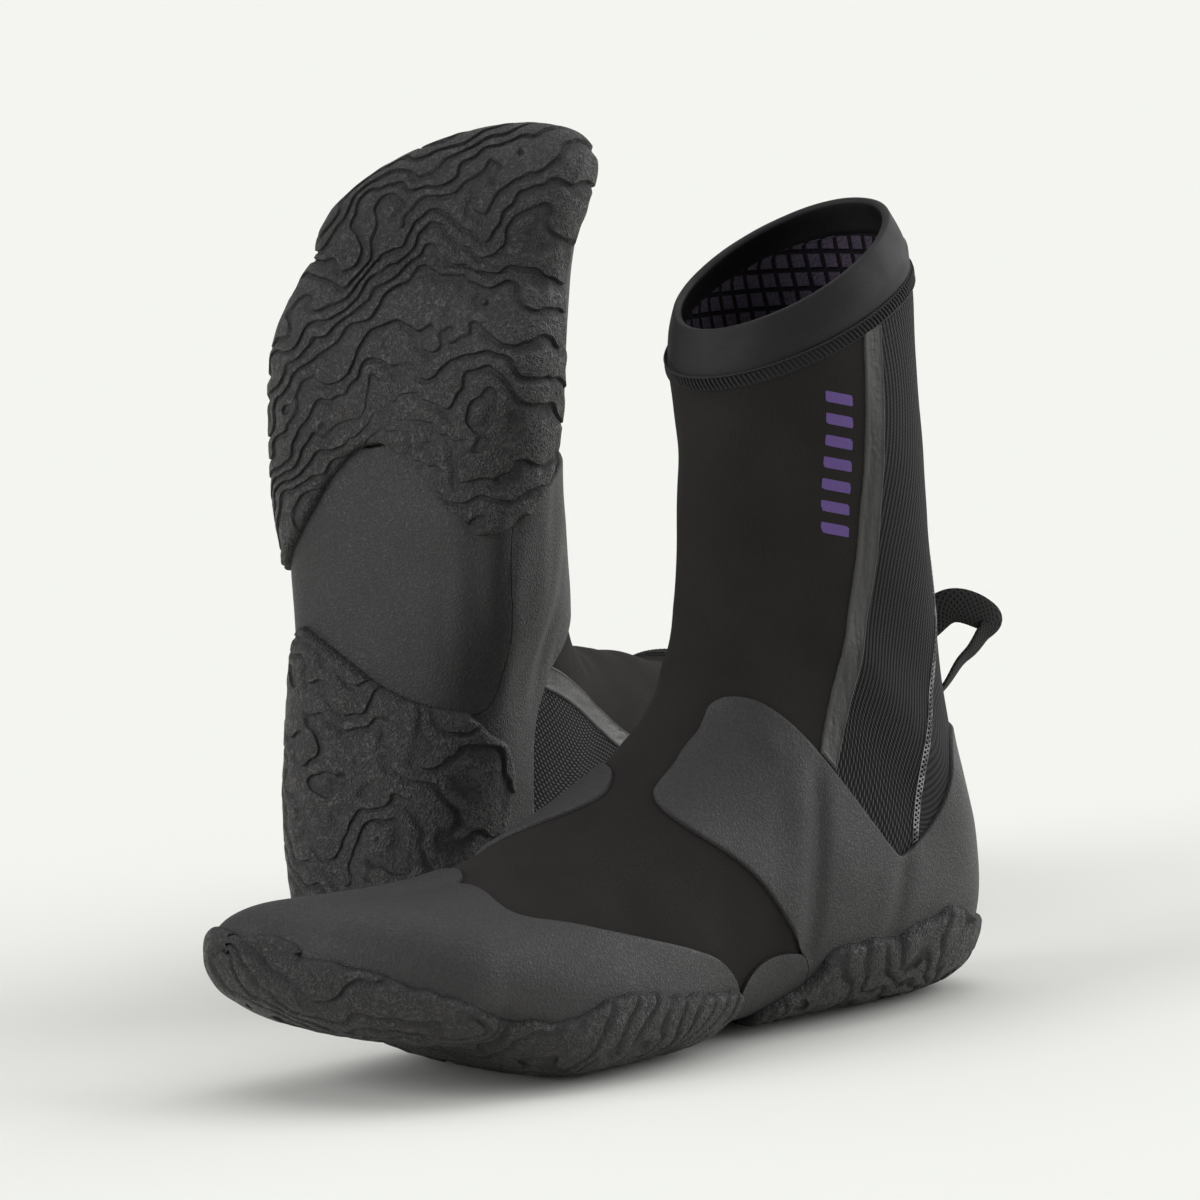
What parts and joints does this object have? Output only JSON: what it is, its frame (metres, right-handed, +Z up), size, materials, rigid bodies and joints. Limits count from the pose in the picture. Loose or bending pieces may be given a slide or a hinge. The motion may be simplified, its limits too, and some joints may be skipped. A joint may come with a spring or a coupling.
{
  "type": "neoprene boots",
  "caption": "Pair of split-sole neoprene water boots with rubber panels, mesh ankle, taped seams, angled cuff and webbing pull loop; one stands, one lies back.",
  "frame": {"origin": "on the ground, at the middle of the pair's box", "axes": "+Z up; X along the leg of the lying right boot, the pair's longest way; Y across the pair"},
  "size_m": [0.4312, 0.2408, 0.2906],
  "materials": {
    "jersey_neoprene": "brown-black knitted jersey over neoprene, matt",
    "ribbed_mesh": "open ribbed knit, black with grey yarn highlights",
    "twill_knit": "fine diagonal twill knit, dark grey",
    "grid_fleece": "dark lining with a grid of purplish grey tufts",
    "cuff_neoprene": "smooth fine jersey over neoprene, bluish black",
    "dark_thread": "black overlock thread",
    "pebbled_rubber": "dark grey rubber with a fine pebbled grain, satin",
    "outsole_rubber": "dark grey rubber, terraced tread with a rough crinkled grain",
    "liquid_seam_tape": "brushed-on liquid rubber, streaked, half gloss",
    "light_thread": "light grey flatlock thread",
    "loop_webbing": "black woven webbing"
  },
  "bodies": {
    "left_boot": {"left_front_panel": "jersey_neoprene", "left_mesh_panel_outer": "ribbed_mesh", "left_mesh_panel_inner": "ribbed_mesh", "left_heel_cord_panel": "twill_knit", "left_lining": "grid_fleece", "left_cuff": "cuff_neoprene", "left_cuff_stitching": "dark_thread", "left_toe_cap": "pebbled_rubber", "left_arch_panel": "pebbled_rubber", "left_heel_wrap": "pebbled_rubber", "left_forefoot_outsole": "outsole_rubber", "left_heel_outsole": "outsole_rubber", "left_seam_tape_outer": "liquid_seam_tape", "left_seam_tape_inner": "liquid_seam_tape", "left_flatlock_outer": "light_thread", "left_flatlock_inner": "light_thread"},
    "left_loop": {"left_pull_loop": "loop_webbing"},
    "right_boot": {"right_front_panel": "jersey_neoprene", "right_mesh_panel_outer": "ribbed_mesh", "right_mesh_panel_inner": "ribbed_mesh", "right_heel_cord_panel": "twill_knit", "right_lining": "grid_fleece", "right_cuff": "cuff_neoprene", "right_cuff_stitching": "dark_thread", "right_toe_cap": "pebbled_rubber", "right_arch_panel": "pebbled_rubber", "right_heel_wrap": "pebbled_rubber", "right_forefoot_outsole": "outsole_rubber", "right_heel_outsole": "outsole_rubber", "right_seam_tape_outer": "liquid_seam_tape", "right_seam_tape_inner": "liquid_seam_tape", "right_flatlock_outer": "light_thread", "right_flatlock_inner": "light_thread"},
    "right_loop": {"right_pull_loop": "loop_webbing"}
  },
  "joints": [
    {"name": "right_boot_lift", "type": "slide", "parent": "left_boot", "child": "right_boot", "axis": [0, 0, 1], "range_m": [0, 0.3]},
    {"name": "left_loop_swing", "type": "hinge", "parent": "left_boot", "child": "left_loop", "pos_m": [-0.05098, 0.0925, 0.092], "axis": [0.1685, -0.0547, 0.9842], "range_deg": [-45, 105]},
    {"name": "right_loop_swing", "type": "hinge", "parent": "right_boot", "child": "right_loop", "pos_m": [-0.03921, -0.07683, 0.00446], "axis": [0.998, -0.0041, -0.063], "range_deg": [0, 150]}
  ]
}
